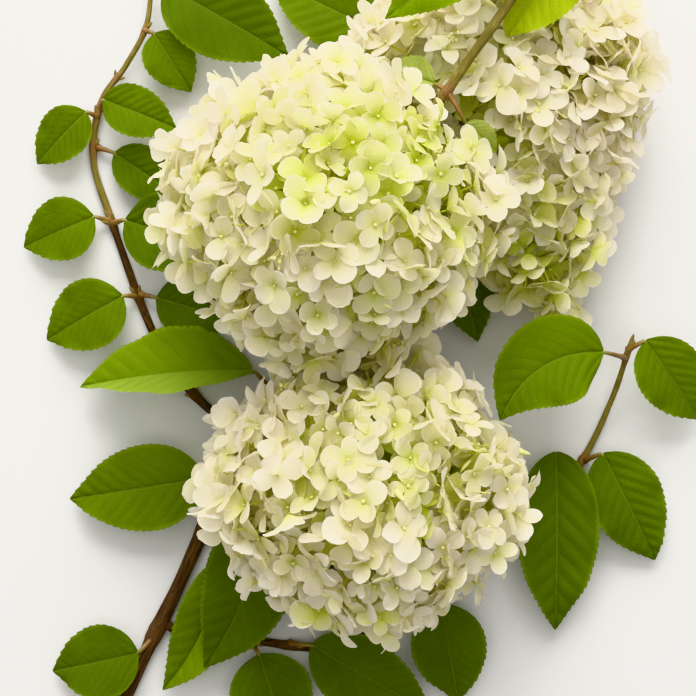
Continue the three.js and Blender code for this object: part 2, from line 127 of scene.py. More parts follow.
TOOTH_OUT, TOOTH_FORWARD = 0.6, 0.4  # shares of the depth outward and towards the tip
VEIN_PAIRS = 9
BLADE_FLOOR = 0.3  # no leaf reaches lower than this
LEAF_IN_FRONT = "leaf_right_mid"  # no floret lies over this one

# Flower heads: middle, direction of the tip, half sizes across, along and in depth.
# The power rounds the outline, the taper narrows it towards the tip, and the florets
# round the young spot are the limest. Ripeness is the usual tint of the outer florets, from
# which the tint falls round the young spot, and from layer to layer as painted shade deeper
# in the head.
FLOWER_HEADS = {
    "bloom_upper": dict(
        centre=(-9, 67, 82), tip=(-0.04, -1.0, 0), half=(88, 80, 84), power=1.65, taper=0.03,
        bough="upper_bough", florets=(430, 280, 190), seed=12, young=(28, 92, 150),
        young_reach=52, young_fall=5.5, ripeness=17.4, inner_shade_fall=5.6),
    "bloom_lower": dict(
        centre=(9, -70, 65), tip=(0.08, -0.99, -0.04), half=(84, 75, 64), power=1.7, taper=0.08,
        bough="lower_bough", florets=(400, 290, 190), seed=23, young=(26, -46, 122),
        young_reach=46, young_fall=3.2, ripeness=18.4, inner_shade_fall=6.0),
    "bloom_third": dict(
        centre=(79, 99, 40), tip=(0.33, -0.92, -0.21), half=(80, 102, 43), power=1.6, taper=0.7,
        bough="third_bough", florets=(480, 400, 240), seed=37, young=(93, 40, 55),
        young_reach=38, young_fall=5.5, ripeness=18.6, inner_shade_fall=4.4),
}
LAYER_SIZES = (1.0, 0.86, 0.71)  # layers of florets as shares of the outline
FLORET_RADIUS = (10.6, 14.8)  # centre of a floret to the end of a sepal
FLORET_GROWTH = (0.84, 0.0083)  # size of the limest florets, and what each tint adds
FLORET_RISE = 4.0  # how far the sepals cup outward
FLORET_TILT = 0.54  # usual lean of a floret, as a slope
FLORET_SCATTER = 2.0  # usual shift of a floret from its even place
FLORET_SINK = (0.015, 0.11)  # how far a floret lies inside the outline
HEAD_KEEP_OUT = 0.95  # no floret reaches further into an earlier head
HEAD_CEILING = 172  # no floret reaches higher than this
FLORET_FLOOR = 1.0  # no floret reaches lower than this
FLORET_CLEARANCE = 3.3  # from a floret to a blade, or to the middle of a bough
FAN = 0.35  # where the florets aim, from the middle to abreast

# Columns and rows of a sepal in the outer layer and the inner ones, and the tint of each row,
# counted from the floret's own. The outer sepals have a thin pale rim, a painted highlight
# where light catches their edges.
SEPAL_ACROSS = (np.array([-1, -0.9, -0.5, 0, 0.5, 0.9, 1]), np.array([-1, -0.4, 0.4, 1]))
SEPAL_ALONG = (np.array([0, 0.1, 0.21, 0.34, 0.48, 0.63, 0.78, 0.91, 0.996]),
               np.array([0, 0.2, 0.45, 0.7, 0.9, 0.996]))
CLAW_STEPS = ((-8, -7, -5, -4, -3, -2, -1, 0), (-4, -3, -2, -1, 0))
RIM_HIGHLIGHT_STEP = 4
SEPAL_WIDEST = 0.58

# Colours in full light, as red, green and blue up to 255
SEPAL_SHADES = [(184, 202, 60), (213, 221, 116), (240, 238, 192), (253, 247, 233), (255, 250, 243)]
SEPAL_TINT_COUNT = 22
# Among the leaf shades, lime is painted light: a brighter base for a leaf that light shines through from
# behind. Soft is painted sheen, used only for the half of a leaf that catches the light, and bright serves
# that way too on one leaf.
LEAF_SHADES = {
    "deep": (80, 103, 8), "middle": (90, 113, 8), "fresh": (91, 115, 8), "bright": (111, 137, 18),
    "soft": (142, 168, 66), "faint": (167, 180, 96), "lime": (154, 172, 36)}


def linear(shade):
    """Red, green and blue as light, from values up to 255 as a screen shows them."""
    return tuple(((part / 255 + 0.055) / 1.055) ** 2.4 for part in shade)


def unit(vectors):
    return vectors / np.linalg.norm(vectors, axis=-1, keepdims=True)


def ripple(points, size, seed, waves=9):
    """Smooth seeded unevenness of about -1 to 1: sines in many directions."""
    random = np.random.default_rng(seed)
    ways = unit(random.normal(size=(waves, 3))) * random.uniform(0.6, 1.7, (waves, 1))
    starts = random.uniform(0, 2 * math.pi, waves)
    return np.sin(points @ ways.T * (2 * math.pi / size) + starts).sum(-1) / math.sqrt(waves)


def triangles_of(rows, columns, closed=False):
    """Triangles of a grid of points, row by row, joined round if closed."""
    row, column = np.meshgrid(np.arange(rows - 1), np.arange(columns - (not closed)), indexing="ij")
    after = (column + 1) % columns
    corners = [row * columns + column, row * columns + after,
               (row + 1) * columns + after, (row + 1) * columns + column]
    first, second, third, fourth = (corner.ravel() for corner in corners)
    return np.stack([first, second, third, first, third, fourth], 1).reshape(-1, 3)


def turns_of(sides):
    """Angles all the way round, one for each side."""
    return 2 * math.pi * np.arange(sides) / sides


def rings(radii, heights, sides):
    """Points of rings round Z, row by row."""
    turns = turns_of(sides)
    return np.stack(np.broadcast_arrays(radii * np.cos(turns), radii * np.sin(turns), heights), -1)


def turned(radii, heights, sides):
    """Points and triangles of a shape turned round Z."""
    return rings(radii, heights, sides).reshape(-1, 3), triangles_of(len(radii), sides, closed=True)


def circle(across, second, sides):
    """Ways round a circle, from two directions across, or from many such pairs."""
    turns = turns_of(sides)[:, None]
    return across[..., None, :] * np.cos(turns) + second[..., None, :] * np.sin(turns)


def beside(ways, limit=0.9):
    """A direction well off each way: up, or X where the way itself is nearly upright."""
    return np.where(np.abs(ways[..., 2:]) > limit, (1.0, 0, 0), UP)


def repeated(triangles, copies, points_each):
    """The same triangles for many copies of one mesh."""
    shifts = np.arange(copies) * points_each
    return (triangles[None] + shifts[:, None, None]).reshape(-1, 3)


def joined(parts):
    """One mesh from several (points, triangles)."""
    points = np.concatenate([part[0] for part in parts])
    starts = np.cumsum([0] + [len(part[0]) for part in parts[:-1]])
    triangles = np.concatenate([part[1] + start for part, start in zip(parts, starts)])
    return points, triangles


def put_in(name, data, place=(0, 0, 0)):
    """A new object in the scene."""
    thing = bpy.data.objects.new(name, data)
    thing.location = place
    bpy.context.scene.collection.objects.link(thing)
    return thing


def make_piece(name, points, triangles, materials, finish_of=None, fields=None):
    """A smooth mesh in metres from points in layout millimetres, riding on the branch."""
    mesh = bpy.data.meshes.new(name)
    mesh.from_pydata((points - MIDDLE) * MM, [], triangles, shade_flat=False)
    for material in materials:
        mesh.materials.append(material)
    if finish_of is not None:
        mesh.polygons.foreach_set("material_index", finish_of.astype(np.int32))
    for field, values in (fields or {}).items():
        kind, key = ("FLOAT", "value") if values.ndim == 1 else ("FLOAT_VECTOR", "vector")
        attribute = mesh.attributes.new(field, kind, "POINT")
        attribute.data.foreach_set(key, values.astype(np.float32).ravel())
    mesh.validate()
    piece = put_in(name, mesh)
    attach(piece, "root")
    return piece


# Shader node groups that several finishes share


def fill(tree, node, values):
    """Links a node's inputs, or sets their values, by name or number."""
    for key, value in values.items():
        if isinstance(value, bpy.types.NodeSocket):
            tree.links.new(value, node.inputs[key])
        else:
            node.inputs[key].default_value = value
    return node


def wired(tree, kind, values=None, **settings):
    """A new node with its settings and its inputs."""
    node = tree.nodes.new(kind)
    for key, value in settings.items():
        setattr(node, key, value)
    return fill(tree, node, values or {})


def reckoned(tree, operation, *values):
    """The sum, product or the like of values and sockets."""
    return wired(tree, "ShaderNodeMath", dict(enumerate(values)), operation=operation).outputs[0]


def blended(tree, share, first, second):
    """The colour from first to second by a share."""
    return wired(tree, "ShaderNodeMix", {0: share, 6: first, 7: second}, data_type="RGBA").outputs[2]


def spread(tree, value, low, high):
    """A value taken from low-high to 0-1 with soft ends."""
    return wired(tree, "ShaderNodeMapRange", {0: value, 1: low, 2: high},
                 interpolation_type="SMOOTHSTEP").outputs[0]


def off_whole(tree, value):
    """How far a value is from the nearest whole number."""
    part = reckoned(tree, "FRACT", reckoned(tree, "ADD", value, 0.5))
    return reckoned(tree, "ABSOLUTE", reckoned(tree, "SUBTRACT", part, 0.5))


def kept(tree, field, socket="Fac"):
    """A value kept on the points of a mesh."""
    return wired(tree, "ShaderNodeAttribute", attribute_name=field).outputs[socket]


def node_group(name, inputs, outputs):
    """An empty group: inputs with their usual values, and outputs that are values, except Colour."""
    group = bpy.data.node_groups.new(name, "ShaderNodeTree")
    for label, value in inputs.items():
        kind = "NodeSocketFloat" if isinstance(value, float) else "NodeSocketColor"
        socket = group.interface.new_socket(label, in_out="INPUT", socket_type=kind)
        socket.default_value = value
    for label in outputs:
        kind = "NodeSocketColor" if label == "Colour" else "NodeSocketFloat"
        group.interface.new_socket(label, in_out="OUTPUT", socket_type=kind)
    return group, group.nodes.new("NodeGroupInput").outputs, group.nodes.new("NodeGroupOutput")


def soft_mottle():
    """Two close colours in soft clouds, with a fine grain to raise."""
    group, given, result = node_group(
        "soft_mottle",
        {"Colour": (0.8, 0.8, 0.8, 1), "Cloud": (0.7, 0.7, 0.7, 1), "Cloud Scale": 60.0,
         "Grain Scale": 900.0},
        ["Colour", "Grain"])
    place = wired(group, "ShaderNodeTexCoord").outputs["Object"]
    cloud, grain = (
        wired(group, "ShaderNodeTexNoise",
              {"Vector": place, "Scale": given[scale], "Detail": detail}).outputs["Fac"]
        for scale, detail in (("Cloud Scale", 3.0), ("Grain Scale", 2.0)))
    colour = blended(group, spread(group, cloud, 0.35, 0.7), given["Colour"], given["Cloud"])
    fill(group, result, {"Colour": colour, "Grain": grain})
    return group


def blade_veins():
    """Midrib, side veins and the fine net of a leaf, from the distances kept on its mesh."""
    group, given, result = node_group(
        "blade_veins", {"Vein Width": 0.05, "Net Scale": 620.0}, ["Vein", "Net", "Rim", "Height"])
    edge = kept(group, "to_edge")
    away = off_whole(group, kept(group, "vein_phase"))
    thinner = reckoned(group, "MULTIPLY", given["Vein Width"], reckoned(group, "SUBTRACT", 1.15, edge))
    from_vein = reckoned(group, "MINIMUM", reckoned(group, "DIVIDE", away, thinner), 1.0)
    side = reckoned(group, "SUBTRACT", 1.0, from_vein)
    middle = reckoned(group, "SUBTRACT", 1.0, spread(group, kept(group, "from_rib"), 0.25, 0.85))
    vein = reckoned(group, "MAXIMUM", reckoned(group, "MULTIPLY", side, 0.75), middle)
    place = wired(group, "ShaderNodeTexCoord").outputs["Object"]
    cells = wired(group, "ShaderNodeTexVoronoi", {"Vector": place, "Scale": given["Net Scale"]},
                  feature="DISTANCE_TO_EDGE")
    net = reckoned(group, "SUBTRACT", 1.0, spread(group, cells.outputs["Distance"], 0.0, 0.14))
    height = reckoned(group, "SUBTRACT", reckoned(group, "MULTIPLY", net, -0.25), vein)
    fill(group, result, {"Vein": vein, "Net": net, "Rim": spread(group, edge, 0.88, 1.0), "Height": height})
    return group


def sepal_veins():
    """Fine veins that fan out along a sepal, from the share across it kept on its mesh."""
    group, given, result = node_group("sepal_veins", {"Count": 4.0}, ["Vein"])
    away = off_whole(group, reckoned(group, "MULTIPLY", kept(group, "aside"), given["Count"]))
    fill(group, result, {"Vein": reckoned(group, "SUBTRACT", 1.0, spread(group, away, 0.03, 0.2))})
    return group


def bark_furrows():
    """Long fine furrows and small raised pores along a bough."""
    group, given, result = node_group(
        "bark_furrows", {"Furrow Scale": 1.4, "Pore Scale": 0.55}, ["Furrow", "Pore", "Height"])
    grain = kept(group, "grain", "Vector")
    long_grain = wired(group, "ShaderNodeMapping", {"Vector": grain, "Scale": (1.0, 1.0, 0.12)})
    furrow = wired(group, "ShaderNodeTexNoise",
                   {"Vector": long_grain.outputs[0], "Scale": given["Furrow Scale"], "Detail": 5.0})
    pore_grain = wired(group, "ShaderNodeMapping", {"Vector": grain, "Scale": (1.0, 1.0, 0.5)})
    pores = wired(group, "ShaderNodeTexVoronoi",
                  {"Vector": pore_grain.outputs[0], "Scale": given["Pore Scale"]})
    pore = reckoned(group, "SUBTRACT", 1.0, spread(group, pores.outputs["Distance"], 0.10, 0.2))
    deep = spread(group, furrow.outputs["Fac"], 0.35, 0.65)
    height = reckoned(group, "ADD", deep, reckoned(group, "MULTIPLY", pore, 0.8))
    fill(group, result, {"Furrow": deep, "Pore": pore, "Height": height})
    return group


SOFT_MOTTLE = soft_mottle()
BLADE_VEINS = blade_veins()
SEPAL_VEINS = sepal_veins()
BARK_FURROWS = bark_furrows()


# Finishes


def rgba(colour, factor=1.0):
    return tuple(min(1.0, part * factor) for part in colour) + (1.0,)


def towards(colour, other, share):
    """A colour part of the way to another."""
    return tuple((1 - share) * part + share * end for part, end in zip(colour, other))


def new_finish(name):
    """A material with its tree and its Principled shader."""
    material = bpy.data.materials.new(name)
    material.use_nodes = True
    return material, material.node_tree, material.node_tree.nodes["Principled BSDF"]


def placed(tree, group, values=None):
    """The outputs of a node group in a material, with its own values."""
    return wired(tree, "ShaderNodeGroup", values, node_tree=group).outputs


def mottled(tree, colour, cloud, cloud_scale, grain_scale):
    """Two colours in soft clouds, and a fine grain."""
    mottle = placed(tree, SOFT_MOTTLE, {"Colour": colour, "Cloud": cloud, "Cloud Scale": cloud_scale,
                                        "Grain Scale": grain_scale})
    return mottle["Colour"], mottle["Grain"]


def raised(tree, shader, height, depth, strength):
    """A bump of that depth in metres on a shader."""
    bump = wired(tree, "ShaderNodeBump", {"Height": height, "Distance": depth, "Strength": strength})
    fill(tree, shader, {"Normal": bump.outputs["Normal"]})
    return bump.outputs["Normal"]


def let_light_through(tree, shader, colour, share, normal):
    """A thin sheet that passes a share of the light on."""
    through = wired(tree, "ShaderNodeBsdfTranslucent", {"Color": colour, "Normal": normal})
    mix = wired(tree, "ShaderNodeMixShader", {0: share, 1: shader.outputs[0], 2: through.outputs[0]})
    fill(tree, tree.nodes["Material Output"], {"Surface": mix.outputs[0]})


def petal_finish(name, tint, cloud, vein_colour):
    """Velvety sepal: two near tints in clouds, faint veins, and light that comes through."""
    material, tree, shader = new_finish(name)
    colour, grain = mottled(tree, rgba(tint), rgba(cloud), 55.0, 1400.0)
    vein = placed(tree, SEPAL_VEINS)["Vein"]
    veined = blended(tree, reckoned(tree, "MULTIPLY", vein, 0.22), colour, rgba(vein_colour))
    fill(tree, shader, {"Base Color": veined, "Roughness": 0.62, "Specular IOR Level": 0.18})
    height = reckoned(tree, "SUBTRACT", reckoned(tree, "MULTIPLY", grain, 0.6), vein)
    let_light_through(tree, shader, veined, 0.5, raised(tree, shader, height, 0.0001, 0.5))
    return material


def leaf_finish(name, tone):
    """Green blade with paler sunken veins, a fine net, a paler rim and a paler underside."""
    material, tree, shader = new_finish(name)
    veins = placed(tree, BLADE_VEINS)
    colour, grain = mottled(tree, rgba(tone), rgba(tone, 0.78), 26.0, 700.0)
    veined = blended(tree, veins["Vein"], colour, rgba(towards(tone, (0.42, 0.52, 0.16), 0.12)))
    netted = blended(tree, reckoned(tree, "MULTIPLY", veins["Net"], 0.16), veined, rgba(tone, 0.6))
    rimmed = blended(tree, reckoned(tree, "MULTIPLY", veins["Rim"], 0.6), netted,
                     rgba(towards(tone, (0.36, 0.46, 0.06), 0.3)))
    back = wired(tree, "ShaderNodeNewGeometry").outputs["Backfacing"]
    sided = blended(tree, back, rimmed, rgba(towards(tone, (0.36, 0.44, 0.2), 0.4)))
    shine = wired(tree, "ShaderNodeMapRange", {0: grain, 3: 0.4, 4: 0.58})
    fill(tree, shader, {"Base Color": sided, "Roughness": shine.outputs[0], "Specular IOR Level": 0.07})
    normal = raised(tree, shader, veins["Height"], 0.00035, 0.8)
    let_light_through(tree, shader, rgba(tone, 1.3), 0.22, normal)
    return material


def bark_finish(name, roughness, *shades):
    """Bark with darker furrows, paler pores and a tint of its own round the joints."""
    bark, furrow, pore, joint = (linear(shade) for shade in shades)
    material, tree, shader = new_finish(name)
    furrows = placed(tree, BARK_FURROWS)
    colour, _ = mottled(tree, rgba(bark), rgba(bark, 1.45), 90.0, 1500.0)
    lined = blended(tree, furrows["Furrow"], rgba(furrow), colour)
    speckled = blended(tree, reckoned(tree, "MULTIPLY", furrows["Pore"], 0.7), lined, rgba(pore))
    tinted = blended(tree, reckoned(tree, "MULTIPLY", kept(tree, "joint"), 0.8), speckled, rgba(joint))
    fill(tree, shader, {"Base Color": tinted, "Roughness": roughness, "Specular IOR Level": 0.3})
    raised(tree, shader, furrows["Height"], 0.0004, 0.9)
    return material


def plain_growth_finish(name, colour, cloud, roughness, cloud_scale=150.0):
    """Smooth green or woody growth with soft clouds of a second colour."""
    material, tree, shader = new_finish(name)
    colour, grain = mottled(tree, rgba(colour), rgba(cloud), cloud_scale, 1800.0)
    fill(tree, shader, {"Base Color": colour, "Roughness": roughness, "Specular IOR Level": 0.35})
    raised(tree, shader, grain, 0.0001, 0.5)
    return material


def stalk_finish():
    """Leaf stalk: pinkish brown at the bough, green along the rib."""
    material, tree, shader = new_finish("leaf_stalk")
    colour, grain = mottled(tree, (0.20, 0.10, 0.035, 1), (0.26, 0.16, 0.05, 1), 120.0, 1600.0)
    share = spread(tree, kept(tree, "along_leaf"), 0.12, 0.45)
    fill(tree, shader, {"Base Color": blended(tree, share, colour, (0.20, 0.28, 0.05, 1)),
                        "Roughness": 0.5})
    raised(tree, shader, grain, 0.0001, 0.5)
    return material


def petal_finishes():
    """One finish for each tint of the sepals, from deep lime to warm white."""
    shades = np.array(SEPAL_SHADES, float)
    finishes = []
    for index in range(SEPAL_TINT_COUNT):
        place = index / (SEPAL_TINT_COUNT - 1) * (len(shades) - 1)
        shade = np.array([np.interp(place, range(len(shades)), part) for part in shades.T])
        finishes.append(petal_finish(f"sepal_tint_{index}", linear(shade), linear(shade - (3, 4, 14)),
                                     linear(shade - (18, 12, 36))))
    return finishes


PETALS = petal_finishes()
LEAF_GREENS = {tone: leaf_finish(f"leaf_{tone}", linear(shade)) for tone, shade in LEAF_SHADES.items()}
BARKS = {
    "old_bark": bark_finish("old_bark", 0.8, (86, 62, 38), (50, 34, 22), (126, 104, 78), (92, 66, 42)),
    "young_bark": bark_finish(
        "young_bark", 0.55, (126, 116, 60), (112, 100, 46), (152, 140, 92), (142, 100, 68))}
LEAF_STALK = stalk_finish()
FLORET_STALK = plain_growth_finish("floret_stalk", linear((192, 194, 72)), linear((206, 204, 104)), 0.5)
BEAD = plain_growth_finish("bead", linear((214, 212, 132)), linear((232, 228, 180)), 0.7, 400.0)
BUD_SCALE = plain_growth_finish("bud_scale", (0.20, 0.13, 0.04), (0.24, 0.22, 0.06), 0.5, 500.0)
CUT_WOOD = plain_growth_finish("cut_wood", (0.66, 0.56, 0.34), (0.58, 0.46, 0.25), 0.8, 900.0)
PITH = plain_growth_finish("pith", (0.82, 0.78, 0.62), (0.74, 0.68, 0.50), 0.9, 1200.0)


# Boughs


def bough_path(route, shares):
    """Points on the smooth line through a route, at shares of its spans."""
    points = np.array(route, float)
    points = np.vstack([2 * points[0] - points[1], points, 2 * points[-1] - points[-2]])
    place = np.asarray(shares, float) * (len(route) - 1)
    span = np.minimum(place.astype(int), len(route) - 2)
    part = (place - span)[:, None]
    before, start, end, after = (points[span + step] for step in range(4))
    leaving, arriving = (end - before) / 2, (after - start) / 2
    return (start + leaving * part + (3 * end - 3 * start - 2 * leaving - arriving) * part ** 2
            + (2 * start - 2 * end + leaving + arriving) * part ** 3)


def ring_axes(path):
    """Tangent, and two directions across that turn smoothly along a path."""
    along = unit(np.gradient(path, axis=0))
    across = np.empty_like(along)
    side = np.cross(UP, along[0]) + (0.001, 0, 0)
    for index, direction in enumerate(along):
        side = side - direction * (side @ direction)
        side = side / np.linalg.norm(side)
        across[index] = side
    return along, across, np.cross(along, across)


def tube(path, radii, sides):
    """Points and triangles of a tube with closed ends, with a radius for each ring or point."""
    _, across, second = ring_axes(path)
    radii = np.broadcast_to(np.asarray(radii, float).reshape(len(path), -1), (len(path), sides))
    points = path[:, None] + circle(across, second, sides) * radii[..., None]
    points = np.vstack([points.reshape(-1, 3), path[0], path[-1]])
    wall = triangles_of(len(path), sides, closed=True)
    side = np.arange(sides)
    after = (side + 1) % sides
    first, last = len(points) - 2, len(points) - 1
    end = (len(path) - 1) * sides
    caps = [np.stack([np.full(sides, first), after, side], 1),
            np.stack([np.full(sides, last), end + side, end + after], 1)]
    return points, np.concatenate([wall, *caps])


def bough_length(route):
    path = bough_path(route, np.linspace(0, 1, 200))
    return np.linalg.norm(np.diff(path, axis=0), axis=1).sum()


LEAF_REACH = 5  # a leaf whose root is this near a bough grows from it
BARE_SPACING = 45  # between leafless joints
BARE_CLEARANCE = 16  # from a leafless joint to a leaf's


def leaf_joints(route):
    """Shares along a bough where leaves leave it, with the side of each."""
    shares = np.linspace(0, 1, 400)
    path = bough_path(route, shares)
    joints = []
    for leaf in LEAVES.values():
        away = np.linalg.norm(path - leaf["root"], axis=1)
        if away.min() < LEAF_REACH:
            joints.append((shares[away.argmin()], unit(leaf["base"] - leaf["root"])))
    return joints


def bare_joints(route, taken):
    """Shares of the leafless joints between."""
    length = bough_length(route)
    count = max(int(length / BARE_SPACING), 1)
    wanted = (np.arange(count) + 0.6) / count
    return [share for share in wanted
            if all(abs(share - other) * length > BARE_CLEARANCE for other, _ in taken)]


RINGS_APART = 1.1  # along a bough
BARK_SIDES = 22
JOINT_SWELL = 0.24  # how much thicker a bough is at a joint
JOINT_LENGTH = 3.2
SCAR_DEPTH = 0.10  # of the ring scar in the middle of a joint
BOUGH_FLOOR = 0.05  # no bough reaches lower than this
RIDGE_SIZE, RIDGE_DEPTHS = 2.2, {"old_bark": 0.035, "young_bark": 0.015}
LUMP_SIZE, LUMP_DEPTH = 17, 0.045  # depths are shares of the radius
TIP_LENGTH = 3.5  # along which a shoot's tip rounds off


def bough_piece(name, route, radius, bark):
    """The bark of one bough: long ridges, soft lumps and swollen joints with ring scars."""
    length = bough_length(route)
    shares = np.linspace(0, 1, int(length / RINGS_APART))
    run = shares * length
    thickness = radius[0] + (radius[1] - radius[0]) * shares
    taken = leaf_joints(route)
    joints = []
    for share in [share for share, _ in taken] + bare_joints(route, taken):
        if all(abs(share - joint) * length > JOINT_LENGTH for joint in joints):
            joints.append(share)
    nearness = np.zeros(len(run))
    for joint in joints:
        away = (run - joint * length) / JOINT_LENGTH
        nearness = np.maximum(nearness, np.exp(-(away / 1.4) ** 2))
        thickness = thickness * (1 + JOINT_SWELL * np.exp(-away ** 2)
                                 - SCAR_DEPTH * np.exp(-(away * 3.5) ** 2))
    if name in SHOOT_TIPS:
        thickness = thickness * np.sqrt(np.clip((length - run) / TIP_LENGTH, 0.02, 1))
    grain = rings(radius[0], run[:, None], BARK_SIDES)
    ridges = ripple(grain * (1, 1, 0.10), RIDGE_SIZE, 5) * RIDGE_DEPTHS[bark]
    lumps = ripple(grain * (0.4, 0.4, 1), LUMP_SIZE, 8) * LUMP_DEPTH
    points, triangles = tube(bough_path(route, shares), thickness[:, None] * (1 + ridges + lumps),
                             BARK_SIDES)
    points[:, 2] = np.maximum(points[:, 2], BOUGH_FLOOR)
    fields = {"grain": np.vstack([grain.reshape(-1, 3), [[0, 0, 0], [0, 0, length]]]),
              "joint": np.append(np.repeat(nearness, BARK_SIDES), [0, 0])}
    piece = make_piece(f"{name}_bark", points, triangles, [BARKS[bark]], fields=fields)
    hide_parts(name)


CUT_SIDES = 36


def cut_face():
    """The flat cut across the old wood: pith, pale wood with a ring, and the green line round it."""
    route, radius, _ = BOUGHS[CUT_BOUGH]
    path = bough_path(route, np.linspace(0, 0.01, 4))
    _, across, second = ring_axes(path)
    along = unit(path[1] - path[0])
    reaches = np.array([0.02, 0.16, 0.27, 0.29, 0.55, 0.58, 0.86, 0.93]) * radius[0]
    heights = np.array([0.02, 0.06, 0.12, 0.22, 0.24, 0.20, 0.22, 0.14])
    points = (path[0] + circle(across[0], second[0], CUT_SIDES) * reaches[:, None, None]
              - along * heights[:, None, None])
    triangles = triangles_of(len(reaches), CUT_SIDES, closed=True)
    zone = np.repeat([1, 1, 1, 0, 0, 0, 2], CUT_SIDES * 2)
    piece = make_piece("cut_face", points.reshape(-1, 3), triangles, [CUT_WOOD, PITH, FLORET_STALK], zone)


def teardrop(rows=7, sides=8):
    """A small pointed bud standing up Z, one high, with its widest part low down."""
    high = np.linspace(0, 1, rows)[:, None]
    wide = 0.42 * np.sqrt(np.clip(1 - ((high - 0.3) / 0.72) ** 2, 0.01, 1)) * (1 - 0.3 * high)
    return turned(wide, high, sides)


def stood(template, places, ways, sizes):
    """Copies of a small mesh, each with its foot at a place and its Z along a way."""
    points, triangles = template
    ways = unit(np.asarray(ways, float))
    across = unit(np.cross(beside(ways), ways))
    axes = np.stack([across, np.cross(ways, across), ways], 1)
    sizes = np.broadcast_to(np.asarray(sizes, float).reshape(len(ways), -1), (len(ways), 3))
    placed_points = (points[None] * sizes[:, None]) @ axes + np.asarray(places, float)[:, None]
    return placed_points.reshape(-1, 3), repeated(triangles, len(ways), len(points))


# Widths and length of the buds beside leaves, at bare joints and at the tips of shoots
LEAF_BUD, BARE_BUD, TIP_BUD = (2.6, 2.6, 4.6), (2.2, 2.2, 3.6), (3.4, 3.4, 8.0)
TRIM_FLOOR = 0.1  # no bud or leaf stalk reaches lower than this


def axil_buds():
    """Buds between leaf and bough, pairs at the bare joints, and one at each shoot's tip."""
    buds = []
    for name, (route, radius, _) in BOUGHS.items():
        taken = leaf_joints(route)
        for share, way in taken:
            path = bough_path(route, [share, min(share + 0.02, 1)])
            forward = unit(path[1] - path[0] + way * 0.01)
            buds.append((path[0] + way * radius[1] * 0.8 + forward * 1.5,
                         way * 0.6 + forward + UP * 0.2, LEAF_BUD))
        for share in bare_joints(route, taken):
            path = bough_path(route, [share, min(share + 0.02, 1)])
            forward = unit(path[1] - path[0])
            across = unit(np.cross(UP, forward) + (0.001, 0, 0))
            for aside in (across, -across):
                buds.append((path[0] + aside * radius[1] * 0.9,
                             aside * 0.8 + forward + UP * 0.3, BARE_BUD))
        if name in SHOOT_TIPS:
            path = bough_path(route, [0.985, 1])
            forward = path[1] - path[0]
            buds.append((path[1] - unit(forward) * 2, forward, TIP_BUD))
    points, triangles = stood(teardrop(), *zip(*buds))
    points[:, 2] = np.maximum(points[:, 2], TRIM_FLOOR)
    make_piece("axil_buds", points, triangles, [BUD_SCALE])


# Leaves


def blade_shape(share):
    """Half width of a blade as a share of its widest, from the base at 0 to the tip at 1."""
    fall = LEAF_SHOULDER * (1 - LEAF_WIDEST) / LEAF_WIDEST
    return (share / LEAF_WIDEST) ** LEAF_SHOULDER * ((1 - share) / (1 - LEAF_WIDEST)) ** fall


def blade_line(leaf, share):
    """Middle line of a blade: arched over and bowed sideways between base and tip."""
    base, tip = leaf["base"], leaf["tip"]
    swell = (4 * share * (1 - share) * np.linalg.norm(tip - base))[:, None]
    sideways = unit(np.cross(UP, tip - base))
    return (base + (tip - base) * share[:, None] + UP * swell * leaf.get("arch", LEAF_ARCH)
            + sideways * swell * leaf.get("bow", 0))


def blade_axes(leaf, share):
    """Middle, along, across and outward of a blade at each share of its length."""
    nudge = 0.01
    along = unit(blade_line(leaf, share + nudge) - blade_line(leaf, share - nudge))
    across = unit(np.cross(UP, along))
    roll = math.radians(leaf.get("roll", 0))
    across = across * math.cos(roll) + np.cross(along, across) * math.sin(roll)
    return blade_line(leaf, share), along, across, np.cross(along, across)


BLADE_HALF = np.array([0, 0.05, 0.13, 0.22, 0.32, 0.43, 0.54, 0.65, 0.76, 0.86, 0.94, 1.0])
BLADE_ACROSS = np.concatenate([-BLADE_HALF[:0:-1], BLADE_HALF])
TOOTH_ROWS = np.array([0.0, 0.45, 0.86])  # a tooth rises slowly and falls away at once
TOOTH_RISES = np.array([0.0, 0.5, 1.0])
VEIN_SLANT, VEIN_CURVE = 0.75, 0.014  # how side veins run forward and bend on the way out
GROOVE_WIDTH, GROOVE_DEPTH = 0.9, 0.5  # over the midrib
EDGE_FALL = 0.0052  # how a fold flattens on the way out
USUAL_WIDTH = 44  # of a blade with quilting and waves of full size
EDGE_WAVES = ((1.5, 1.6, 0.9), (0.7, 3.9, 2.1))  # height, waves along, and lag between the sides


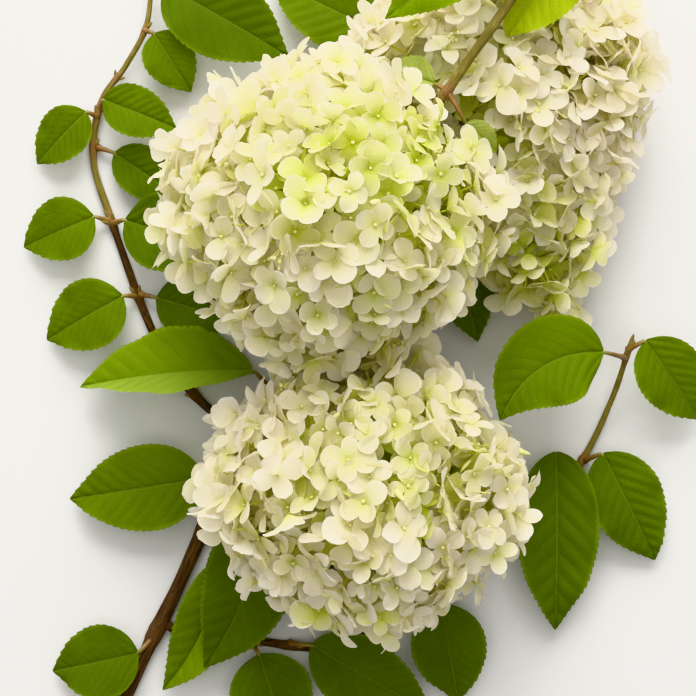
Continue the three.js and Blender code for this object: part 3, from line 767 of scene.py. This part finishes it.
def blade(leaf, seed):
    """A leaf blade: folded at the midrib, quilted between its veins, waved and toothed at its edge."""
    random = np.random.default_rng(seed)
    length = np.linalg.norm(leaf["tip"] - leaf["base"])
    teeth = int(length / TOOTH_STEP)
    rows = (np.arange(teeth)[:, None] + TOOTH_ROWS).ravel() / teeth
    share = np.concatenate([0.003 + rows * 0.993, [0.998]])
    tooth = np.concatenate([np.tile(TOOTH_RISES, teeth), [0.0]])
    middle, along, across, outward = blade_axes(leaf, share)
    pinch = 1 - 0.3 * np.clip((share - 0.7) / 0.3, 0, 1) ** 1.5
    half = (leaf["width"] / 2 * blade_shape(share) * pinch)[:, None]
    sideways = half * BLADE_ACROSS
    rib = np.abs(sideways)
    edge = np.abs(BLADE_ACROSS)
    phase = ((share[:, None] * length - VEIN_SLANT * rib - VEIN_CURVE * rib ** 2)
             / (length / VEIN_PAIRS))
    between = np.abs(phase - np.round(phase)) * 2
    size = leaf["width"] / USUAL_WIDTH
    quilt = (np.sin(np.clip(between, 0, 1) * math.pi / 2) ** 1.5
             * np.sin(math.pi * np.minimum(edge, 1) ** 0.8))
    groove = np.exp(-(rib / GROOVE_WIDTH) ** 2) * GROOVE_DEPTH
    starts = random.uniform(0, 2 * math.pi, 3)
    sign = np.sign(BLADE_ACROSS)
    wave = sum(high * np.sin(2 * math.pi * waves * share[:, None] + start + sign * lag)
               for (high, waves, lag), start in zip(EDGE_WAVES, starts)) * edge ** 2.2
    twist = 0.07 * np.sin(2 * math.pi * 0.6 * share[:, None] + starts[2]) * sideways
    fold = np.sqrt(rib ** 2 + 1.0) - 1.0 - EDGE_FALL * rib ** 2
    rise = (fold * leaf.get("fold", LEAF_FOLD) + quilt * size - groove
            + wave * size * np.minimum(half / 8, 1) + twist)
    reach = (tooth[:, None] * TOOTH_DEPTH * np.minimum(half / 6, 1)
             * np.clip((edge - 0.9) / 0.1, 0, 1))
    points = (middle[:, None] + across[:, None] * (sideways + sign * reach * TOOTH_OUT)[..., None]
              + outward[:, None] * rise[..., None]
              + along[:, None] * (reach * TOOTH_FORWARD)[..., None])
    points = points.reshape(-1, 3)
    points[:, 2] = np.maximum(points[:, 2], BLADE_FLOOR)
    fields = {"from_rib": rib.ravel(), "vein_phase": phase.ravel(),
              "to_edge": np.broadcast_to(edge, rib.shape).ravel()}
    # The paler half of a leaf is painted sheen, where that side catches the light.
    pale = np.tile(np.repeat(BLADE_ACROSS[:-1] >= 0, 2), len(share) - 1) & ("sheen_half" in leaf)
    return points, triangles_of(len(share), len(BLADE_ACROSS))[:, ::-1], fields, pale


LEAF_STALK_RADII = (1.5, 1.0)  # from the bough to the blade
RIB_RADII = (0.95, 0.15)  # from there to its tip
LEAF_STALK_SIDES = 7


def leaf_stalk(leaf):
    """The stalk of a leaf, which goes on as the rib under its blade."""
    root, base = leaf["root"], leaf["base"]
    bend = root + (base - root) * 0.55 + UP * 0.12 * np.linalg.norm(base - root)
    stalk = bough_path([root, bend, base], np.linspace(0, 1, 9))
    share = np.linspace(0.03, 0.93, 20)
    middle, _, _, outward = blade_axes(leaf, share)
    rib_radii = np.linspace(*RIB_RADII, len(share))
    rib = middle - outward * (rib_radii + 0.6)[:, None]
    path = np.vstack([stalk[:-1], rib])
    radii = np.concatenate([np.linspace(*LEAF_STALK_RADII, len(stalk) - 1), rib_radii])
    radii[:2] *= (1.5, 1.2)
    points, triangles = tube(path, radii, LEAF_STALK_SIDES)
    points[:, 2] = np.maximum(points[:, 2], TRIM_FLOOR)
    run = np.repeat(np.linspace(0, 1, len(path)), LEAF_STALK_SIDES)
    return points, triangles, np.concatenate([run, [0, 1]])


def leaves():
    """The blades, joined by tone, and all their stalks. Gives points of each blade."""
    blades = {name: blade(leaf, 100 + index) for index, (name, leaf) in enumerate(LEAVES.items())}
    for tone in dict.fromkeys(leaf["tone"] for leaf in LEAVES.values()):
        names = [name for name, leaf in LEAVES.items() if leaf["tone"] == tone]
        points, triangles = joined([blades[name][:2] for name in names])
        fields = {field: np.concatenate([blades[name][2][field] for name in names])
                  for field in ("from_rib", "vein_phase", "to_edge")}
        pale = np.concatenate([blades[name][3] for name in names])
        # The second finish paints sheen on the half of a leaf that catches the light.
        sheen_tone = [LEAVES[name]["sheen_half"] for name in names if "sheen_half" in LEAVES[name]] or [tone]
        finishes = [LEAF_GREENS[tone], LEAF_GREENS[sheen_tone[0]]]
        piece = make_piece(f"leaf_blades_{tone}", points, triangles, finishes, pale, fields)
        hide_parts(*names)
    stalks = [leaf_stalk(leaf) for leaf in LEAVES.values()]
    points, triangles = joined(stalks)
    run = np.concatenate([stalk[2] for stalk in stalks])
    piece = make_piece("leaf_stalks", points, triangles, [LEAF_STALK], fields={"along_leaf": run})
    return {name: made[0][::4] for name, made in blades.items()}


# Flower heads


# Each head also has its axes: towards the tip, across, and in depth
for flower in FLOWER_HEADS.values():
    flower.update({key: np.array(flower[key], float) for key in ("centre", "tip", "young")})
    flower["along"] = unit(flower["tip"])
    flower["across"] = unit(np.cross(flower["along"], UP))
    flower["depth"] = np.cross(flower["across"], flower["along"])


def head_profile(head, share):
    """Half width of a head at a share of its half length, from -1 at the base to 1 at the tip."""
    power = head["power"]
    return np.clip(1 - np.abs(share) ** power, 0, 1) ** (1 / power) * (1 - head["taper"] * share)


def head_point(head, share, angle):
    """Points of the outline of a head, by share along and angle round the axis."""
    power, half = head["power"], head["half"]
    round_off = (np.abs(np.cos(angle)) ** power + np.abs(np.sin(angle)) ** power) ** (-1 / power)
    width = head_profile(head, share) * round_off
    return (head["centre"] + (half[0] * width * np.cos(angle))[:, None] * head["across"]
            + (half[1] * share)[:, None] * head["along"]
            + (half[2] * width * np.sin(angle))[:, None] * head["depth"])


def head_depth(head, points):
    """How far out points lie in a head: under 1 inside the outline, over 1 outside."""
    offset = points - head["centre"]
    share = offset @ head["along"] / head["half"][1]
    narrow = np.maximum(1 - head["taper"] * share, 0.05)
    parts = [share, offset @ head["across"] / (head["half"][0] * narrow),
             offset @ head["depth"] / (head["half"][2] * narrow)]
    return sum(np.abs(part) ** head["power"] for part in parts) ** (1 / head["power"])


def even_shares(head, count):
    """Shares along a head that deal its florets out evenly over its surface."""
    ends = np.linspace(-1, 1, 121)
    widths = head_profile(head, ends)
    slopes = np.hypot(head["half"][0] * np.diff(widths), head["half"][1] * np.diff(ends))
    area = np.concatenate([[0], np.cumsum((widths[1:] + widths[:-1]) / 2 * slopes)])
    return np.interp((np.arange(count) + 0.5) / count * area[-1], area, ends)


def floret_places(head, layer, random):
    """The places of one layer of florets, dealt out in a golden spiral with a seeded scatter."""
    count = head["florets"][layer]
    share = even_shares(head, count)
    outline = head_point(head, share, np.arange(count) * GOLDEN_ANGLE + layer)
    centre = head["centre"]
    aim = centre + head["along"] * (head["half"][1] * share * FAN)[:, None]
    lean = random.normal(size=(count, 3)) * FLORET_TILT
    outward = unit(unit(outline - aim) + lean)
    outline = outline + random.normal(size=(count, 3)) * FLORET_SCATTER
    sink = (1 - LAYER_SIZES[layer]) + random.uniform(*FLORET_SINK, count)
    middle = outline + (centre - outline) * sink[:, None] - outward * FLORET_RISE
    return {"middle": middle, "outward": outward, "turn": random.random(count) * math.pi,
            "layer": np.full(count, layer)}


TINT_SCATTER = 2.0
TIP_SHADE_DROP = 0.8  # painted shade: tints fall from the middle of a head to its tip, the side away from the light


def floret_tints(head, places, random):
    """The tint of each floret: limest round the young spot, and limer and darker inside the head and
    towards its tip as painted shade.
    """
    away = np.linalg.norm(places["middle"] - head["young"], axis=1)
    low = (places["middle"] - head["centre"]) @ head["along"] / head["half"][1]
    level = (head["ripeness"] - head["young_fall"] * np.exp(-(away / head["young_reach"]) ** 2)
             # Painted shade: the tint falls towards the tip, the side away from the light.
             - TIP_SHADE_DROP * low + random.normal(0, TINT_SCATTER, len(away))
             # Painted shade: the tint falls from layer to layer, deeper in the head between the outer
             # florets.
             - head["inner_shade_fall"] * places["layer"])
    return np.clip(np.round(level), 1, SEPAL_TINT_COUNT - 1).astype(int)


def floret_axes(places):
    """Two directions in the plane of each floret, turned by its own turn."""
    outward = places["outward"]
    across = unit(np.cross(outward, beside(outward, 0.8)))
    second = np.cross(outward, across)
    turn = places["turn"][:, None]
    return across * np.cos(turn) + second * np.sin(turn), second * np.cos(turn) - across * np.sin(turn)


def keep_clear(places, radius, hindrances, earlier):
    """Which florets miss the leaves, the boughs, the surface below and the heads made before."""
    rim = circle(*floret_axes(places), 8) * radius[:, None, None]
    middle = places["middle"][:, None]
    outer = middle + rim + places["outward"][:, None] * FLORET_RISE
    tests = np.concatenate([outer, middle + rim / 2, middle], 1)
    clear = ((tests[..., 2] > FLORET_FLOOR) & (tests[..., 2] < HEAD_CEILING)).all(1)
    for other in earlier:
        depth = head_depth(other, tests.reshape(-1, 3)).reshape(len(clear), -1)
        clear &= (depth > HEAD_KEEP_OUT).all(1)
    for index in np.flatnonzero(clear):
        clear[index] = all(hindrances.find(Vector(point))[2] > FLORET_CLEARANCE for point in tests[index])
    return clear


def sepal_outline(along, bluntness):
    """Half width of a sepal as a share of its widest, from its claw to its round or pointed end."""
    rising = np.clip(along / SEPAL_WIDEST, 0, 1)
    falling = np.clip((along - SEPAL_WIDEST) / (1 - SEPAL_WIDEST), 0, 1)
    return (0.1 + 0.9 * (1 - (1 - rising) ** 2) ** 0.9) * (1 - falling ** 2.1) ** bluntness


# Ranges from which the sepals draw
SEPAL_LENGTH = (0.88, 1.04)  # as a share of the floret's radius
SEPAL_HALF_WIDTH = (0.34, 0.5)  # as a share of the sepal's length
SEPAL_BLUNTNESS = (0.48, 0.72)  # the power that rounds the ends, one for each floret
CLAW_RISE = (10, 55)  # in degrees
END_RISE = (-32, 30)
SEPAL_CUP = (0.0, 0.34)  # rise of the sides as a share of the half width
SEPAL_WAVE = (0.1, 0.5)
SEPAL_FLOOR = 0.2  # no sepal reaches lower than this


def sepal_points(places, radius, layer, random):
    """All points of all sepals: florets, four sepals, rows and columns."""
    rows, columns = SEPAL_ALONG[layer], SEPAL_ACROSS[layer]
    count = len(radius)
    own = (count, 4, 1, 1)
    across, second = floret_axes(places)
    angle = turns_of(4)[None] + random.normal(0, 0.09, (count, 4))
    pairs = 1 + np.array([0.5, -0.5, 0.5, -0.5]) * random.uniform(0, 0.2, (count, 1))
    length = radius[:, None] * random.uniform(*SEPAL_LENGTH, (count, 4)) * pairs
    half = length * random.uniform(*SEPAL_HALF_WIDTH, (count, 4))
    bluntness = random.uniform(*SEPAL_BLUNTNESS, (count, 1, 1, 1))
    first_rise, last_rise = (
        np.radians(random.uniform(*rises, (count, 1)) + random.normal(0, scatter, (count, 4)))
        for rises, scatter in ((CLAW_RISE, 9), (END_RISE, 12)))
    cup = random.uniform(*SEPAL_CUP, own)
    twist = random.normal(0, 0.10, own)
    wave = random.uniform(*SEPAL_WAVE, own)
    start = random.uniform(0, 2 * math.pi, own)
    over = np.array([0.35, -0.1, 0.35, -0.1])[None, :, None, None]
    along, aside = rows[None, None, :, None], columns[None, None, None, :]
    rise = first_rise[..., None] * (1 - rows) ** 1.3 + last_rise[..., None] * rows
    steps = np.diff(rows, prepend=0)
    out, lift = ((np.cumsum(part * steps, -1) * length[..., None])[..., None]
                 for part in (np.cos(rise), np.sin(rise)))
    width = half[..., None, None] * sepal_outline(along, bluntness)
    sideways = width * aside
    lift = (lift + cup * width * aside ** 2 + twist * sideways * along + over * (1 - along)
            + wave * np.sin(2.6 * aside + 5 * along + start) * along)
    out = out + 0.5 + 0 * aside
    turn = angle[..., None, None]
    x = out * np.cos(turn) - sideways * np.sin(turn)
    y = out * np.sin(turn) + sideways * np.cos(turn)
    axes = np.stack([across, second, places["outward"]], 1)
    local = np.stack([x, y, lift], -1).reshape(count, -1, 3)
    return local @ axes + places["middle"][:, None]


def sepal_zones(tints, layer):
    """The finish of each triangle: limer towards the claw, with a paler rim on the outer sepals that is a
    painted highlight.
    """
    shift = np.repeat(np.array(CLAW_STEPS[layer])[:, None], len(SEPAL_ACROSS[layer]) - 1, axis=1)
    if layer == 0:
        # Paler rim tints: painted highlight along the edges of the outer sepals.
        shift[3:, [0, -1]] = RIM_HIGHLIGHT_STEP
        shift[-1] = RIM_HIGHLIGHT_STEP
    shift = np.tile(np.repeat(shift.ravel(), 2), 4)
    return np.clip(tints[:, None] + shift, 0, SEPAL_TINT_COUNT - 1).ravel()


def stalk_tubes(starts, ends, radii, bow, sides=4, steps=4):
    """Many thin stalks at once, each a gently bowed tube."""
    count = len(starts)
    share = np.linspace(0, 1, steps)[None, :, None]
    path = starts[:, None] * (1 - share) + ends[:, None] * share + bow[:, None] * 4 * share * (1 - share)
    along = unit(np.gradient(path, axis=1))
    across = unit(np.cross(beside(along[:, :1]), along))
    thick = np.linspace(radii[0], radii[1], steps)[:, None, None]
    points = path[:, :, None] + circle(across, np.cross(along, across), sides) * thick
    return points.reshape(-1, 3), repeated(triangles_of(steps, sides, closed=True), count, steps * sides)


HUBS = 38  # where side branches end and floret stalks begin
HUB_SIZE = 0.52  # of the cloud of hubs, as a share of the head
HUB_FLOOR = 4  # no hub lies lower than this
AXIS_RADII, BRANCH_RADII, FLORET_STALK_RADII = (2.1, 0.9), (1.2, 0.8), (0.55, 0.4)


def head_stalks(head, places, random):
    """The stalk of a head, its side branches and the thin stalk of each floret."""
    centre = head["centre"]
    start = np.array(BOUGHS[head["bough"]][0][-1], float)
    end = centre + head["along"] * head["half"][1] * 0.55
    axis = bough_path([start, start + (centre - start) * 0.55, centre, end], np.linspace(0, 1, 24))
    parts = [tube(axis, np.linspace(*AXIS_RADII, len(axis)), 10)]
    share = even_shares(head, HUBS)
    outline = head_point(head, share, np.arange(HUBS) * GOLDEN_ANGLE)
    hubs = centre + (outline - centre) * HUB_SIZE
    hubs[:, 2] = np.maximum(hubs[:, 2], HUB_FLOOR)
    nearest = np.linalg.norm(hubs[:, None] - axis[None], axis=2).argmin(1)
    foot = axis[np.maximum(nearest - 4, 0)]
    parts.append(stalk_tubes(foot, hubs, BRANCH_RADII, random.normal(0, 1.2, (HUBS, 3)), sides=6, steps=6))
    nearest = np.linalg.norm(places["middle"][:, None] - hubs[None], axis=2).argmin(1)
    backs = places["middle"] - places["outward"] * 0.6
    parts.append(stalk_tubes(hubs[nearest], backs, FLORET_STALK_RADII, -places["outward"] * 1.5))
    return joined(parts)


def ball(rows=5, sides=7):
    """A small round bead standing on Z, one across."""
    tilt = np.linspace(0.08, math.pi - 0.08, rows)[:, None]
    return turned(np.sin(tilt) / 2, -np.cos(tilt) / 2, sides)


BEAD_SIZES = (1.2, 2.1)
CLOSED_FLORETS = 26
CLOSED_SINK = 11  # from the outline in to the foot of an unopened floret
CLOSED_RADIUS = 3.0  # of the room it needs
CLUB_WIDTH, CLUB_LENGTHS = 4.2, (7, 9.5)
BUD_SIZES = (1.3, 2.2)
BUDS_EACH = 9  # round buds in a cluster


def closed_florets(head, hindrances, earlier, random):
    """Unopened florets on the outline: slim clubs, and clusters of tiny round buds."""
    share = even_shares(head, CLOSED_FLORETS)
    outline = head_point(head, share, np.arange(CLOSED_FLORETS) * GOLDEN_ANGLE + 2)
    outward = unit(unit(outline - head["centre"]) + random.normal(0, 0.3, outline.shape))
    places = {"middle": outline - outward * CLOSED_SINK, "outward": outward, "turn": np.zeros(len(share))}
    clear = keep_clear(places, np.full(len(share), CLOSED_RADIUS), hindrances, earlier)
    foot, outward = places["middle"][clear], outward[clear]
    clubs = np.arange(len(foot)) % 2 == 0
    wide = np.full(clubs.sum(), CLUB_WIDTH)
    sizes = np.stack([wide, wide, random.uniform(*CLUB_LENGTHS, len(wide))], 1)
    parts = [stood(teardrop(9, 8), foot[clubs] + outward[clubs] * 2, outward[clubs], sizes)]
    for place, way in zip(foot[~clubs], outward[~clubs]):
        spots = place + way * 6 + random.normal(0, 2.0, (BUDS_EACH, 3))
        ways = np.tile(way, (BUDS_EACH, 1))
        parts.append(stood(ball(), spots, ways, random.uniform(*BUD_SIZES, BUDS_EACH)))
        parts.append(stalk_tubes(np.tile(place - way * 3, (BUDS_EACH, 1)), spots, (0.35, 0.25),
                                 np.zeros(spots.shape)))
    return joined(parts)


def flower_head(name, head, hindrances, earlier):
    """One head: its florets in three layers, their beads and their stalks."""
    random = np.random.default_rng(head["seed"])
    layers = [floret_places(head, layer, random) for layer in range(len(LAYER_SIZES))]
    places = {key: np.concatenate([layer[key] for layer in layers]) for key in layers[0]}
    tints = floret_tints(head, places, random)
    radius = random.uniform(*FLORET_RADIUS, len(tints)) * (FLORET_GROWTH[0] + FLORET_GROWTH[1] * tints)
    clear = keep_clear(places, radius, hindrances, earlier)
    places = {key: values[clear] for key, values in places.items()}
    tints, radius = tints[clear], radius[clear]
    for layer, label in enumerate(("sepals", "inner_sepals")):
        own = np.minimum(places["layer"], 1) == layer
        chosen = {key: values[own] for key, values in places.items()}
        points = sepal_points(chosen, radius[own], layer, random).reshape(-1, 3)
        points[:, 2] = np.maximum(points[:, 2], SEPAL_FLOOR)
        rows, columns = len(SEPAL_ALONG[layer]), len(SEPAL_ACROSS[layer])
        triangles = repeated(triangles_of(rows, columns)[:, ::-1], own.sum() * 4, rows * columns)
        aside = np.tile(SEPAL_ACROSS[layer], own.sum() * 4 * rows)
        piece = make_piece(f"{name}_{label}", points, triangles, PETALS, sepal_zones(tints[own], layer),
                           {"aside": aside})
        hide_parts(name)
    make_piece(f"{name}_stalks", *head_stalks(head, places, random), [FLORET_STALK])
    seen = places["layer"] < 2
    sizes = random.uniform(*BEAD_SIZES, seen.sum())
    outward = places["outward"][seen]
    beads = stood(ball(), places["middle"][seen] + outward * 0.9, outward, sizes)
    points, triangles = joined([beads, closed_florets(head, hindrances, earlier, random)])
    make_piece(f"{name}_beads", points, triangles, [BEAD])


POINTS_APART = 3  # along the middle of a bough that florets keep clear of
FRONT_RISES = range(4, 36, 4)  # heights over the leaf in front that are kept free


def flower_heads(blade_points):
    """The three heads, each clear of the leaves, the boughs and the heads before it."""
    boughs = [bough_path(route, np.linspace(0, 1, int(bough_length(route) / POINTS_APART)))
              for route, _, _ in BOUGHS.values()]
    in_front = [blade_points[LEAF_IN_FRONT] + UP * rise for rise in FRONT_RISES]
    obstacles = np.concatenate([*blade_points.values(), *in_front, *boughs])
    hindrances = KDTree(len(obstacles))
    for index, point in enumerate(obstacles):
        hindrances.insert(point, index)
    hindrances.balance()
    earlier = []
    for name, head in FLOWER_HEADS.items():
        flower_head(name, head, hindrances, earlier)
        earlier.append(head)


# Floor, light and camera


FLOOR_REACH = 3.2
LAMP_COLOUR = (1.0, 0.985, 0.965)
LOOKED_AT = Vector((0, 0, 0.06))


def floor():
    """A plain pale floor under the branch."""
    material, tree, shader = new_finish("pale_floor")
    colour, _ = mottled(tree, (0.68, 0.675, 0.665, 1), (0.66, 0.655, 0.645, 1), 6.0, 300.0)
    fill(tree, shader, {"Base Color": colour, "Roughness": 0.9})
    mesh = bpy.data.meshes.new("floor")
    corners = [(-1, -1, 0), (1, -1, 0), (1, 1, 0), (-1, 1, 0)]
    mesh.from_pydata([Vector(corner) * FLOOR_REACH for corner in corners], [], [(0, 1, 2, 3)])
    mesh.materials.append(material)
    put_in("floor", mesh)


def softbox(name, place, size, power):
    """A square lamp that faces the middle of the branch."""
    lamp = bpy.data.lights.new(name, "AREA")
    lamp.shape = "SQUARE"
    lamp.size = size
    lamp.energy = power
    lamp.color = LAMP_COLOUR
    holder = put_in(name, lamp, place)
    holder.rotation_euler = (LOOKED_AT - Vector(place)).to_track_quat("-Z", "Y").to_euler()


def studio():
    """Soft light from beyond the far end, weaker light from above, and a pale room."""
    softbox("key_light", (0.0, 2.2, 1.5), 2.1, 140)
    softbox("top_light", (0.0, 0.1, 1.7), 1.5, 12)
    world = bpy.data.worlds.new("pale_room")
    world.use_nodes = True
    fill(world.node_tree, world.node_tree.nodes["Background"],
         {"Color": (1.0, 0.985, 0.955, 1), "Strength": 0.46})
    bpy.context.scene.world = world
    bpy.context.scene.view_settings.view_transform = "Khronos PBR Neutral"


CAMERA_HEIGHT = 1.1
SHARP_HEIGHT = 0.085  # height at which one pixel of the picture is PIXEL wide
PIXEL = 0.00048
IMAGE_SIDE = 696


def camera():
    """Looks straight down, with the far end of the branch at the top of the picture."""
    lens = bpy.data.cameras.new("camera")
    lens.sensor_width = 36
    lens.lens = lens.sensor_width * (CAMERA_HEIGHT - SHARP_HEIGHT) / (IMAGE_SIDE * PIXEL)
    place = (-MIDDLE[0] * MM, -MIDDLE[1] * MM, CAMERA_HEIGHT)
    bpy.context.scene.camera = put_in("camera", lens, place)


camera()
studio()
floor()
for bough_name, bough in BOUGHS.items():
    bough_piece(bough_name, *bough)
cut_face()
axil_buds()
flower_heads(leaves())
